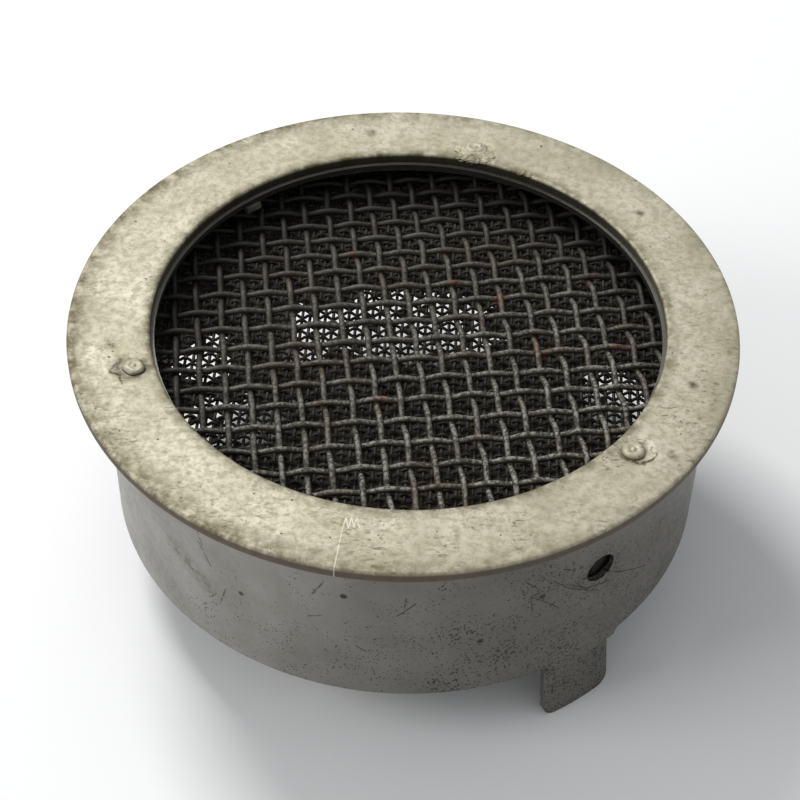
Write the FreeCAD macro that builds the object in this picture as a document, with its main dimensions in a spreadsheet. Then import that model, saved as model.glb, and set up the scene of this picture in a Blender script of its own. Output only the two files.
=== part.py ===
"""Flanged dryer diffuser: a riveted sheet-metal collar that carries two woven wire screens.

The origin is on the sleeve's axis, level with the sleeve's open lower edge. +Z points along the
axis towards the flange, and the locking tabs hang below the origin. Lengths are in millimetres.
"""
import FreeCAD, Part
import math
import os
import re

import Sketcher
from FreeCAD import Placement, Rotation, Vector

ORIGIN_POINT = (-1, 1)
CENTRE = 3
TINY = 1e-6
FULL_TURN = 360.0
UP = Vector(0, 0, 1)

doc = FreeCAD.newDocument("diffuser")

# ---------------------------------------------------------------- driving dimensions
DIMENSIONS = {
    # flange ring
    "flange_diameter": 65.0,
    "flange_offset": 0.5,         # the disc sits this far off the sleeve's axis, towards -X
    "flange_thickness": 1.2,
    "flange_edge": 0.3,           # rounding of the punched edges
    "opening_diameter": 50.0,
    # sleeve, with its top edge turned inwards as a lip
    "sleeve_diameter": 59.6,
    "sleeve_length": 19.7,
    "metal": 0.6,
    "lip_diameter": 49.4,
    "bend_radius": 1.2,
    "screw_hole_diameter": 3.2,
    "screw_hole_bearing": -52.6,  # from +X; the second hole is opposite
    "screw_hole_depth": 8.0,      # below the flange's underside
    # locking tabs, cut in one piece with the sleeve's lower edge
    "tab_bearing": -54.0,         # of the first tab, from +X
    "tab_sweep": 15.5,
    "tab_length": 8.4,
    "tab_root_length": 0.8,       # straight down from the sleeve's edge
    "tab_step": 0.8,              # then stepped inwards by this much
    "tab_step_length": 1.2,
    "tab_tip_inset": 0.1,         # the tip flares back to this far inside the sleeve's outside
    "tab_corner": 1.4,
    "tab_root_fillet": 0.7,
    "tab_count": 2,
    # rivets through the flange ring and the lip, set by hand, so not quite evenly
    "rivet_circle": 54.0,
    "rivet_shank": 1.4,
    "rivet_hole_play": 0.02,
    "rivet_head": 2.2,
    "rivet_crown": 0.35,
    "rivet_tail": 0.45,
    "front_right_rivet": -40.3,   # bearings from +X
    "back_rivet": 75.5,
    "left_rivet": 197.3,
    # stop ring, a split strip above the screens, and the wire ring that holds them up
    "ring_clearance": 0.05,
    "stop_width": 0.7,
    "stop_height": 1.2,
    "stop_gap": 16.0,
    "stop_end": 130.0,            # bearing of the end that is turned inwards
    "stop_reach": 24.4,           # radius that the turned-in end reaches
    "stop_end_height": 0.7,
    "stop_foot": 1.7,
    "retaining_wire": 1.0,
    "retaining_gap": 20.0,
    "retaining_end": 40.0,
    # rim that is crimped round the two screens
    "rim_metal": 0.35,
    "rim_mouth_diameter": 53.2,
    # woven screens; a turn is the weft's, from +X, and a pitch is between wires of one set
    "screen_diameter": 57.4,
    "coarse_turn": 6.5,
    "coarse_weft_pitch": 2.68,
    "coarse_warp_pitch": 2.35,
    "coarse_wire": 0.6,
    "weft_share": 0.3,            # of the crimp; the warp takes the rest
    "fine_turn": -2.5,
    "fine_pitch": 0.78,
    "fine_wire": 0.25,
    "weave_play": 0.01,
}

dims = doc.addObject("Spreadsheet::Sheet", "dims")
for row, (alias, value) in enumerate(DIMENSIONS.items(), start=1):
    dims.set("A%d" % row, alias)
    dims.set("B%d" % row, "%g" % value)
    dims.setAlias("B%d" % row, alias)
doc.recompute()

# heights of the stack inside the sleeve, as expressions over the sheet
SEAT = "sleeve_length"
LIP_UNDERSIDE = "sleeve_length - metal"
STOP_TOP = LIP_UNDERSIDE + " - ring_clearance"
RIM_TOP = STOP_TOP + " - stop_height - ring_clearance"
COARSE_TOP = RIM_TOP + " - rim_metal - ring_clearance"
WEFT_SWING = "weft_share * (coarse_wire + weave_play)"
WARP_SWING = "(1 - weft_share) * (coarse_wire + weave_play)"
COARSE_MIDDLE = COARSE_TOP + " - " + WARP_SWING + " - coarse_wire / 2"
FINE_TOP = COARSE_MIDDLE + " - " + WARP_SWING + " - coarse_wire / 2 - weave_play"
RIM_FLOOR = FINE_TOP + " - 3 * fine_wire - ring_clearance"
RIM_BOTTOM = RIM_FLOOR + " - rim_metal"
RETAINING_HEIGHT = RIM_BOTTOM + " - ring_clearance - retaining_wire / 2"
SLEEVE_BORE = "(sleeve_diameter / 2 - metal)"
RING_OUTSIDE = "(" + SLEEVE_BORE + " - ring_clearance)"

# each rivet and the alias of its bearing
RIVETS = {
    "rivet_front_right": "front_right_rivet",
    "rivet_back": "back_rivet",
    "rivet_left": "left_rivet",
}


OWNER = {alias: "dims." + alias for alias in DIMENSIONS}


def evaluate(text):
    """The value of an expression over the sheet's aliases."""
    return float(dims.evalExpression(text))


def on_sheet(text):
    """The same expression as another object of the document writes it."""
    return re.sub(r"[a-z_]+", lambda word: OWNER.get(word.group(), word.group()), text)


# ---------------------------------------------------------------- helpers
def new_body(name):
    """An empty body, which is one separate piece."""
    body = doc.addObject("PartDesign::Body", name)
    body.Label = name
    return body


def new_sketch(body, name, role, bearing=None, height=None):
    """A sketch on one of the body's own origin planes, turned about Z or raised along it."""
    sketch = body.newObject("Sketcher::SketchObject", name)
    plane = [part for part in body.Origin.OriginFeatures if part.Role == role][0]
    sketch.AttachmentSupport = [(plane, "")]
    sketch.MapMode = "FlatFace"
    turn_axis = UP if role == "XY_Plane" else Vector(0, 1, 0)
    if bearing is not None:
        sketch.AttachmentOffset = Placement(Vector(), Rotation(turn_axis, evaluate(bearing)))
        sketch.setExpression("AttachmentOffset.Rotation.Angle", on_sheet("(" + bearing + ") * 1deg"))
    if height is not None:
        sketch.setExpression("AttachmentOffset.Base.z", on_sheet("(" + height + ") * 1mm"))
    return sketch


def place_point(sketch, point, x_text, y_text):
    """Bind a sketch point's two coordinates to expressions, whatever their signs."""
    for kind, text in (("DistanceX", x_text), ("DistanceY", y_text)):
        value = evaluate(text)
        if value < 0:
            ends = point + ORIGIN_POINT
            text = "-(" + text + ")"
        else:
            ends = ORIGIN_POINT + point
        number = sketch.addConstraint(Sketcher.Constraint(kind, *ends, abs(value)))
        sketch.setExpression("Constraints[%d]" % number, on_sheet("(" + text + ") * 1mm"))


def add_outline(sketch, corners):
    """A closed outline of straight lines through corners given as pairs of expressions."""
    values = [Vector(evaluate(x), evaluate(y), 0) for x, y in corners]
    first = sketch.GeometryCount
    count = len(corners)
    for n in range(count):
        sketch.addGeometry(Part.LineSegment(values[n], values[(n + 1) % count]))
    for n in range(count):
        after = first + (n + 1) % count
        sketch.addConstraint(Sketcher.Constraint("Coincident", first + n, 2, after, 1))
    for n, (x_text, y_text) in enumerate(corners):
        place_point(sketch, (first + n, 1), x_text, y_text)


def add_circle(sketch, x_text, y_text, diameter):
    """A circle whose centre and diameter are expressions."""
    centre = Vector(evaluate(x_text), evaluate(y_text), 0)
    number = sketch.addGeometry(Part.Circle(centre, UP, evaluate(diameter) / 2))
    place_point(sketch, (number, CENTRE), x_text, y_text)
    size = sketch.addConstraint(Sketcher.Constraint("Diameter", number, evaluate(diameter)))
    sketch.setExpression("Constraints[%d]" % size, on_sheet("(" + diameter + ") * 1mm"))


def revolve(body, sketch, name, sweep=None):
    """Turn a section about Z, all the way round or through a sweep centred on its plane."""
    turned = body.newObject("PartDesign::Revolution", name)
    turned.Profile = sketch
    turned.ReferenceAxis = (sketch, ["V_Axis"])
    if sweep is None:
        turned.Angle = FULL_TURN
    else:
        turned.Midplane = True
        turned.setExpression("Angle", on_sheet("(" + sweep + ") * 1deg"))
    return turned


def pad(body, sketch, name, height, downwards=False):
    """Give a sketch a thickness."""
    padded = body.newObject("PartDesign::Pad", name)
    padded.Profile = sketch
    padded.Reversed = downwards
    padded.setExpression("Length", on_sheet("(" + height + ") * 1mm"))
    return padded


def pocket(body, sketch, name):
    """Cut a sketch through everything, on both sides of its plane."""
    volume_before = body.Shape.Volume
    cut = body.newObject("PartDesign::Pocket", name)
    cut.Profile = sketch
    cut.Type = "ThroughAll"
    cut.Midplane = True
    doc.recompute()
    if body.Shape.Volume > volume_before - TINY:
        raise RuntimeError(name + " cuts nothing")
    return cut


def pattern(body, feature, name, count):
    """Repeat a feature evenly about Z."""
    repeated = body.newObject("PartDesign::PolarPattern", name)
    repeated.Originals = [feature]
    z_axis = [part for part in body.Origin.OriginFeatures if part.Role == "Z_Axis"][0]
    repeated.Axis = (z_axis, [""])
    repeated.Angle = FULL_TURN
    repeated.setExpression("Occurrences", on_sheet(count))
    body.Tip = repeated
    doc.recompute()
    return repeated


def round_edges(body, name, radius, wanted):
    """Fillet every edge of the body's tip that the test picks."""
    doc.recompute()
    base = body.Tip
    names = ["Edge%d" % n for n, edge in enumerate(base.Shape.Edges, start=1) if wanted(edge)]
    if not names:
        raise RuntimeError(name + " finds no edge")
    fillet = body.newObject("PartDesign::Fillet", name)
    fillet.Base = (base, names)
    fillet.setExpression("Radius", on_sheet("(" + radius + ") * 1mm"))
    doc.recompute()
    return fillet


def is_circle(edge, radius, height):
    """Whether an edge is part of a level circle of this radius and height."""
    curve = edge.Curve
    if not isinstance(curve, Part.Circle):
        return False
    return abs(curve.Radius - radius) < 1e-4 and abs(curve.Center.z - height) < 1e-4


def is_radial(edge, height):
    """Whether an edge is a short level line that points at the axis."""
    if not isinstance(edge.Curve, Part.Line) or len(edge.Vertexes) != 2:
        return False
    start, end = (vertex.Point for vertex in edge.Vertexes)
    if abs(start.z - height) > 1e-4 or abs(end.z - height) > 1e-4:
        return False
    return abs(start.x * end.y - start.y * end.x) < 1e-3


# ---------------------------------------------------------------- flange and sleeve
def drill_rivet_holes(body):
    """One hole through the body for each rivet."""
    for name, bearing in RIVETS.items():
        hole = new_sketch(body, name.replace("rivet", body.Label + "_hole"), "XY_Plane", bearing=bearing)
        add_circle(hole, "rivet_circle / 2", "0", "rivet_shank + rivet_hole_play")
        pocket(body, hole, hole.Name + "_cut")


def make_flange_ring():
    """The flat annular disc that shows on top, punched a little off centre."""
    body = new_body("flange_ring")
    outline = new_sketch(body, "flange_outline", "XY_Plane", height=SEAT)
    add_circle(outline, "-flange_offset", "0", "flange_diameter")
    add_circle(outline, "0", "0", "opening_diameter")
    pad(body, outline, "flange_pad", "flange_thickness")
    doc.recompute()
    drill_rivet_holes(body)
    top = evaluate(SEAT + " + flange_thickness")
    outside = evaluate("flange_diameter / 2")
    opening = evaluate("opening_diameter / 2")
    round_edges(body, "flange_rounding", "flange_edge", lambda edge: (
        is_circle(edge, outside, top)
        or is_circle(edge, outside, evaluate(SEAT))
        or is_circle(edge, opening, top)))
    return body


def make_sleeve():
    """The drawn sleeve: wall, turned-in lip, two screw holes and the tabs on its lower edge."""
    body = new_body("sleeve")
    outside = "sleeve_diameter / 2"
    lip = "lip_diameter / 2"
    section = new_sketch(body, "sleeve_section", "XZ_Plane")
    add_outline(section, [
        (lip, SEAT),
        (lip, LIP_UNDERSIDE),
        (SLEEVE_BORE, LIP_UNDERSIDE),
        (SLEEVE_BORE, "0"),
        (outside, "0"),
        (outside, SEAT),
    ])
    revolve(body, section, "sleeve_turned")
    round_edges(body, "outer_bend", "bend_radius",
                lambda edge: is_circle(edge, evaluate(outside), evaluate(SEAT)))
    round_edges(body, "inner_bend", "bend_radius - metal",
                lambda edge: is_circle(edge, evaluate(SLEEVE_BORE), evaluate(LIP_UNDERSIDE)))

    tab_section = new_sketch(body, "tab_section", "XZ_Plane", bearing="tab_bearing")
    root = "-tab_root_length"
    knee = root + " - tab_step_length"
    tip = "-tab_length"
    overlap = "metal"
    add_outline(tab_section, [
        (outside, overlap),
        (outside, root),
        (outside + " - tab_step", knee),
        (outside + " - tab_tip_inset", tip),
        (outside + " - tab_tip_inset - metal", tip),
        (outside + " - tab_step - metal", knee),
        (SLEEVE_BORE, root),
        (SLEEVE_BORE, overlap),
    ])
    tab = revolve(body, tab_section, "tab_turned", sweep="tab_sweep")
    doc.recompute()
    pattern(body, tab, "tabs", "tab_count")
    round_edges(body, "tab_corners", "tab_corner",
                lambda edge: is_radial(edge, evaluate(tip)))
    round_edges(body, "tab_roots", "tab_root_fillet",
                lambda edge: is_radial(edge, 0))

    screw_hole = new_sketch(body, "screw_hole", "YZ_Plane", bearing="screw_hole_bearing")
    add_circle(screw_hole, "0", SEAT + " - screw_hole_depth", "screw_hole_diameter")
    pocket(body, screw_hole, "screw_holes")
    drill_rivet_holes(body)
    return body


def make_rivet(name, bearing):
    """One rivet: a low button with a centre mark above, a plain tail under the lip."""
    body = new_body(name)
    section = new_sketch(body, name + "_section", "XZ_Plane")
    top = SEAT + " + flange_thickness"
    tail = LIP_UNDERSIDE + " - rivet_tail"
    add_outline(section, [
        ("0", tail),
        ("rivet_head * 0.34", tail),
        ("rivet_head * 0.46", LIP_UNDERSIDE),
        ("rivet_shank / 2", LIP_UNDERSIDE),
        ("rivet_shank / 2", top),
        ("rivet_head / 2", top),
        ("rivet_head * 0.46", top + " + rivet_crown * 0.6"),
        ("rivet_head * 0.34", top + " + rivet_crown * 0.8"),
        ("rivet_head * 0.08", top + " + rivet_crown * 0.8"),
        ("rivet_head * 0.05", top + " + rivet_crown"),
        ("0", top + " + rivet_crown"),
    ])
    revolve(body, section, name + "_turned")
    radius = evaluate("rivet_circle / 2")
    turn = math.radians(evaluate(bearing))
    body.Placement = Placement(
        Vector(radius * math.cos(turn), radius * math.sin(turn), 0),
        Rotation(UP, evaluate(bearing)))
    angle = "(" + bearing + " * 1deg)"
    body.setExpression("Placement.Base.x", on_sheet("cos" + angle + " * rivet_circle / 2 * 1mm"))
    body.setExpression("Placement.Base.y", on_sheet("sin" + angle + " * rivet_circle / 2 * 1mm"))
    return body


# ---------------------------------------------------------------- rings inside the sleeve
def make_stop_ring():
    """A split strip above the screens, with one end turned inwards to grip it by."""
    body = new_body("stop_ring")
    inside = RING_OUTSIDE + " - stop_width"
    bottom = STOP_TOP + " - stop_height"
    opposite = "stop_end + 180 - stop_gap / 2"
    section = new_sketch(body, "stop_section", "XZ_Plane", bearing=opposite)
    add_outline(section, [
        (inside, STOP_TOP),
        (RING_OUTSIDE, STOP_TOP),
        (RING_OUTSIDE, bottom),
        (inside, bottom),
    ])
    revolve(body, section, "stop_turned", sweep="360 - stop_gap")
    doc.recompute()
    end_bottom = STOP_TOP + " - stop_end_height"
    end = new_sketch(body, "stop_end_outline", "XY_Plane", bearing="stop_end", height=end_bottom)
    add_outline(end, [
        ("stop_reach", "0"),
        (inside + " + stop_width / 2", "0"),
        (inside + " + stop_width / 2", "stop_width"),
        ("stop_reach + stop_width", "stop_width"),
        ("stop_reach + stop_width", "stop_foot"),
        ("stop_reach", "stop_foot"),
    ])
    pad(body, end, "stop_end_pad", "stop_end_height")
    return body


def make_screen_rim():
    """The channel that is crimped round the edges of both screens."""
    body = new_body("screen_rim")
    section = new_sketch(body, "rim_section", "XZ_Plane")
    mouth = "rim_mouth_diameter / 2"
    web = RING_OUTSIDE + " - rim_metal"
    add_outline(section, [
        (mouth, RIM_TOP),
        (RING_OUTSIDE, RIM_TOP),
        (RING_OUTSIDE, RIM_BOTTOM),
        (mouth, RIM_BOTTOM),
        (mouth, RIM_FLOOR),
        (web, RIM_FLOOR),
        (web, RIM_TOP + " - rim_metal"),
        (mouth, RIM_TOP + " - rim_metal"),
    ])
    revolve(body, section, "rim_turned")
    return body


def make_retaining_ring():
    """A split ring of round wire, sprung into the sleeve under the screens."""
    ring = doc.addObject("Part::Torus", "retaining_ring")
    ring.Label = "retaining_ring"
    ring.setExpression("Radius1", on_sheet("(" + RING_OUTSIDE + " - retaining_wire / 2) * 1mm"))
    ring.setExpression("Radius2", on_sheet("retaining_wire / 2 * 1mm"))
    ring.setExpression("Angle3", on_sheet("(360 - retaining_gap) * 1deg"))
    ring.Placement = Placement(Vector(0, 0, evaluate(RETAINING_HEIGHT)),
                               Rotation(UP, evaluate("retaining_end")))
    ring.setExpression("Placement.Base.z", on_sheet("(" + RETAINING_HEIGHT + ") * 1mm"))
    ring.setExpression("Placement.Rotation.Angle", on_sheet("retaining_end * 1deg"))
    return ring


# ---------------------------------------------------------------- woven screens
def crimped_wire(offset, number, reach, pitch, wire, swing):
    """One wire of a plain weave along X: it passes over and under the wires that cross it.

    The path is one arc for each crossing. Each arc starts and ends at mid height, halfway
    between two crossings, and the next one is its mirror image, so the path has no corner.
    """
    half_length = math.sqrt(reach * reach - offset * offset)
    last = int((half_length - pitch / 2) / pitch)
    arcs = []
    for crossing in range(-last, last + 1):
        crest = swing * (1 if (crossing + number) % 2 == 0 else -1)
        middle = crossing * pitch
        arcs.append(Part.Arc(
            Vector(middle - pitch / 2, offset, 0),
            Vector(middle, offset, crest),
            Vector(middle + pitch / 2, offset, 0)).toShape())
    path = Part.Wire(arcs)
    start = arcs[0].valueAt(arcs[0].FirstParameter)
    heading = arcs[0].tangentAt(arcs[0].FirstParameter)
    profile = Part.Wire([Part.Circle(start, heading, wire / 2).toShape()])
    return path.makePipeShell([profile], True, False)


def straight_wire(offset, reach, wire, height):
    """One fine wire along X, cut off at the screen's edge."""
    half_length = math.sqrt(reach * reach - offset * offset)
    return Part.makeCylinder(wire / 2, 2 * half_length, Vector(-half_length, offset, height),
                             Vector(1, 0, 0))


def new_screen(name, wires, turn, height):
    """A set of parallel wires, each a solid of its own, as one piece of the document."""
    feature = doc.addObject("Part::Feature", name)
    feature.Label = name
    feature.Shape = Part.makeCompound(wires)
    feature.Placement = Placement(Vector(0, 0, height), Rotation(UP, turn))
    return feature


def make_coarse_screen():
    """Two sets of crimped wires that pass over and under each other."""
    wire = evaluate("coarse_wire")
    reach = evaluate("screen_diameter / 2")
    height = evaluate(COARSE_MIDDLE)
    turn = evaluate("coarse_turn")
    pieces = []
    sets = (("coarse_screen_weft", turn, 0, "coarse_weft_pitch", "coarse_warp_pitch", WEFT_SWING),
            ("coarse_screen_warp", turn + 90, 1, "coarse_warp_pitch", "coarse_weft_pitch", WARP_SWING))
    for name, bearing, phase, own_pitch, crossing_pitch, swing in sets:
        pitch = evaluate(own_pitch)
        count = int((reach - wire) / pitch)
        wires = [
            crimped_wire(n * pitch, n + phase, reach, evaluate(crossing_pitch), wire, evaluate(swing))
            for n in range(-count, count + 1)]
        pieces.append(new_screen(name, wires, bearing, height))
    return pieces


def make_fine_screen():
    """The fine wires under the coarse screen, as two crossed layers.

    The space below leaves room for a third layer, since the real weft goes over and under.
    """
    pitch = evaluate("fine_pitch")
    wire = evaluate("fine_wire")
    reach = evaluate("screen_diameter / 2")
    count = int((reach - wire) / pitch)
    turn = evaluate("fine_turn")
    numbers = range(-count, count + 1)
    pieces = []
    layers = (("fine_screen_weft", turn, "fine_wire / 2"),
              ("fine_screen_warp", turn + 90, "fine_wire * 1.5 + weave_play"))
    for name, bearing, depth in layers:
        height = evaluate(FINE_TOP + " - (" + depth + ")")
        wires = [straight_wire(n * pitch, reach, wire, 0) for n in numbers]
        pieces.append(new_screen(name, wires, bearing, height))
    return pieces


# ---------------------------------------------------------------- assembly
pieces = [
    make_flange_ring(),
    make_sleeve(),
    *[make_rivet(name, bearing) for name, bearing in RIVETS.items()],
    make_stop_ring(),
    make_screen_rim(),
    make_retaining_ring(),
]
pieces += make_coarse_screen()
pieces += make_fine_screen()
doc.recompute()

for item in doc.Objects:
    if "Invalid" in item.State or "Error" in item.State:
        raise RuntimeError("failed object: " + item.Name)

os.makedirs("parts", exist_ok=True)
for piece in pieces:
    shape = piece.Shape
    if shape.isNull() or not shape.isValid():
        raise RuntimeError("bad shape: " + piece.Label)
    shape.exportStep("parts/" + piece.Label + ".step")
    box = shape.BoundBox
    print("%-20s %3d solids %9.2f mm3  z %7.2f to %6.2f" % (
        piece.Label, len(shape.Solids), shape.Volume, box.ZMin, box.ZMax))
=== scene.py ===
# %% [markdown]
# # A dryer's air diffuser: a flanged sleeve with two woven wire screens
#
# The real object is a short sleeve of plated sheet steel with a flat ring riveted to its top.
# A coarse and a fine wire screen lie inside it, and years of warm air have left dust, lint and
# stains on all of it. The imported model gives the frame: every piece below takes its place from it.

import math
import random

import bmesh
import bpy
from mathutils import Matrix, Vector, noise


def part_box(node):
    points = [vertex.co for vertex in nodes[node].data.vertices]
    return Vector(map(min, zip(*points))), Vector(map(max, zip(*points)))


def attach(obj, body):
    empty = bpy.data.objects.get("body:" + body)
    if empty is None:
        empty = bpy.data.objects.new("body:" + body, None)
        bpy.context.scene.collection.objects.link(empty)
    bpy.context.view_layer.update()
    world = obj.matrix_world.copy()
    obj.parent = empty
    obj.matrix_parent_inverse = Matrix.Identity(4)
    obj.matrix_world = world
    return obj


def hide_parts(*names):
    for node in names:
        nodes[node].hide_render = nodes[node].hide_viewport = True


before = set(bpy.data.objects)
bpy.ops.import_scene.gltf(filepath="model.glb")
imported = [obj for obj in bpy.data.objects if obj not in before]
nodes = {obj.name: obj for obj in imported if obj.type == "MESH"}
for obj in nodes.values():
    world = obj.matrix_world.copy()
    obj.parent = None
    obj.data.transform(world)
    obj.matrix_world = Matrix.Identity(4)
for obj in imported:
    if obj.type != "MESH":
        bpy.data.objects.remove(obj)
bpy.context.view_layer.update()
# Noise vectors start from the clock unless they are given a seed.
noise.seed_set(1)
print("loaded", len(nodes), "nodes of the packed model")

# %% Units and the main sizes
MM = 0.001
sleeve_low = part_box("sleeve")[0]
flange_low, flange_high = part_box("flange_ring")
FLANGE_RADIUS = (flange_high.x - flange_low.x) / 2
FLANGE_CENTRE = Vector(((flange_high.x + flange_low.x) / 2, 0, flange_high.z))
WALL_RADIUS = 29.8 * MM
OPENING_RADIUS = 25 * MM
SCREW_BEARING = -52.6
SCREW_HEIGHT = 11.7
print("flange", round(FLANGE_RADIUS / MM, 2), "mm in radius, its top at", round(flange_high.z / MM, 2), "mm")

# %% [markdown]
# ## Small helpers
#
# Colours are picked as sRGB hex values, and shaders work in linear light, so one function turns
# them round. One more function adds a node with its settings and links, and finds a socket by
# its name, its identifier or its number. Patterns are given by a real size in millimetres.

# %% Colour, node and pattern helpers
def linear(hex_colour):
    """An sRGB hex colour as linear RGBA."""
    channels = [int(hex_colour[i:i + 2], 16) / 255 for i in (1, 3, 5)]
    return [c / 12.92 if c <= 0.04045 else ((c + 0.055) / 1.055) ** 2.4 for c in channels] + [1.0]


def socket(sockets, key):
    """A node's socket by number, identifier or name."""
    if isinstance(key, int):
        return sockets[key]
    return next(s for s in sockets if key in (s.identifier, s.name))


def add(material, kind, settings=None, links=None):
    """Adds a shader node of that kind, sets its properties and unlinked sockets, and links its inputs."""
    tree = material.node_tree
    node = tree.nodes.new("ShaderNode" + kind)
    for key, value in (settings or {}).items():
        if isinstance(key, str) and hasattr(node, key):
            setattr(node, key, value)
        else:
            socket(node.inputs, key).default_value = value
    for key, (source, output) in (links or {}).items():
        tree.links.new(socket(source.outputs, output), socket(node.inputs, key))
    return node


def size_of(mm):
    """A texture's scale for a pattern of that size in millimetres."""
    return 1 / (mm * MM)


def new_material(name):
    """An empty material with its output and a Principled shader already joined."""
    material = bpy.data.materials.new(name)
    material.use_nodes = True
    material.node_tree.nodes.clear()
    shader = add(material, "BsdfPrincipled")
    add(material, "OutputMaterial", links={"Surface": (shader, "BSDF")})
    return material, shader


print("helpers ready")

# %% [markdown]
# ## Camera, floor and light
#
# The view looks down at the ring from the front, about 45 degrees above the floor, with a long
# lens, and leans by just over a degree. The light is a big soft lamp above and behind on the
# left, so the ring is bright, the wall in front is grey and the ring shades the screens' far side.

# %% Camera
VIEW_LEAN = 1.167
VIEW_LENS = 85.5
VIEW_FROM = (-0.0005, -0.13519, 0.14664)
VIEW_AT = (-0.000674, -0.011666, flange_high.z)
camera_data = bpy.data.cameras.new("camera")
camera_data.sensor_width = 36
camera_data.lens = VIEW_LENS
camera_data.clip_start = 0.01
camera = bpy.data.objects.new("camera", camera_data)
camera.location = VIEW_FROM
look = Vector(VIEW_AT) - camera.location
camera.rotation_mode = "QUATERNION"
lean = Matrix.Rotation(math.radians(VIEW_LEAN), 3, "Z").to_quaternion()
camera.rotation_quaternion = look.to_track_quat("-Z", "Y") @ lean
bpy.context.scene.collection.objects.link(camera)
bpy.context.scene.camera = camera
print("camera", round(math.degrees(math.atan2(-look.z, look.y)), 1), "degrees above the floor")

# %% Floor
FLOOR_HEIGHT = sleeve_low.z - 0.05 * MM
floor_mesh = bmesh.new()
bmesh.ops.create_grid(floor_mesh, x_segments=1, y_segments=1, size=1.5)
bmesh.ops.translate(floor_mesh, verts=floor_mesh.verts, vec=(0, 0, FLOOR_HEIGHT))
floor_data = bpy.data.meshes.new("floor")
floor_mesh.to_mesh(floor_data)
floor_mesh.free()
floor = bpy.data.objects.new("floor", floor_data)
bpy.context.scene.collection.objects.link(floor)
paper, paper_shader = new_material("matt_white_paper")
paper_shader.inputs["Base Color"].default_value = linear("#F7F7F6")
paper_shader.inputs["Roughness"].default_value = 0.9
floor_data.materials.append(paper)
print("floor at", round(FLOOR_HEIGHT / MM, 2), "mm")

# %% Lamps and the room's light
bpy.context.scene.view_settings.view_transform = "Standard"
world = bpy.data.worlds.new("studio")
world.use_nodes = True
background = next(n for n in world.node_tree.nodes if n.type == "BACKGROUND")
background.inputs["Color"].default_value = linear("#F4F6FA")
background.inputs["Strength"].default_value = 0.46
bpy.context.scene.world = world


def softbox(name, place, size, watts):
    """A square lamp that points at the object."""
    data = bpy.data.lights.new(name, "AREA")
    data.size = size
    data.energy = watts
    lamp = bpy.data.objects.new(name, data)
    lamp.location = place
    lamp.rotation_mode = "QUATERNION"
    lamp.rotation_quaternion = (-Vector(place)).to_track_quat("-Z", "Y")
    bpy.context.scene.collection.objects.link(lamp)
    return lamp


softbox("lamp_above_left", (-0.22, 0.30, 0.48), 0.18, 2.4)
softbox("lamp_left", (-0.46, -0.16, 0.34), 0.26, 1.1)
print("two soft lamps")

# %% [markdown]
# ## The ring's plated sheet
#
# The ring is steel sheet with a dull zinc-like plating that has yellowed. What the eye sees is
# a warm pale grey with soft blotches, fine olive specks, dark pits, and brown grime that has
# crept in from both edges, more on the left where hands or seals have touched it. The grime
# follows the radius, so it is worked out from Object coordinates and broken up by noise.

# %% Strokes: a fine scratch or hairline between two points
def stroke(material, place, start, end, width, soft):
    """A mask that is 1 on the line from start to end (metres, in the plane of place) and 0 off it."""
    along = Vector(end) - Vector(start)
    length = along.length
    from_start = add(material, "VectorMath", {"operation": "SUBTRACT", 1: tuple(start)}, {0: place})
    distance_along = add(material, "VectorMath", {"operation": "DOT_PRODUCT", 1: tuple(along / length)},
                         {0: (from_start, "Vector")})
    held = add(material, "Clamp", {"Min": 0.0, "Max": length}, {"Value": (distance_along, "Value")})
    foot = add(material, "VectorMath", {"operation": "SCALE", 0: tuple(along / length)},
               {"Scale": (held, "Result")})
    gap = add(material, "VectorMath", {"operation": "DISTANCE"},
              {0: (from_start, "Vector"), 1: (foot, "Vector")})
    return add(material, "MapRange",
               {"From Min": width / 2, "From Max": width / 2 + soft, "To Min": 1.0, "To Max": 0.0},
               {"Value": (gap, "Value")})


def strongest(material, masks):
    """The largest of several masks."""
    found = masks[0]
    for mask in masks[1:]:
        found = add(material, "Math", {"operation": "MAXIMUM"},
                    {0: (found, 0), 1: (mask, 0)})
    return found


def on_ring(x, y):
    """A point of the ring's flat face, from millimetres."""
    return (x * MM, y * MM, 0)


print("stroke helpers ready")

# %% Yellowed zinc plating on the ring
ring_plate, shader = new_material("yellowed_zinc_plate")
shader.inputs["Metallic"].default_value = 0.35
place = add(ring_plate, "TexCoord")
flat = add(ring_plate, "Mapping",
           {"Location": (-FLANGE_CENTRE.x, 0, 0), "Scale": (1, 1, 0)}, {"Vector": (place, "Object")})
from_disc = add(ring_plate, "VectorMath", {"operation": "LENGTH"}, {0: (flat, "Vector")})
flat_axis = add(ring_plate, "Mapping", {"Scale": (1, 1, 0)}, {"Vector": (place, "Object")})
from_axis = add(ring_plate, "VectorMath", {"operation": "LENGTH"}, {0: (flat_axis, "Vector")})
apart = add(ring_plate, "SeparateXYZ", links={"Vector": (place, "Object")})

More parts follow.
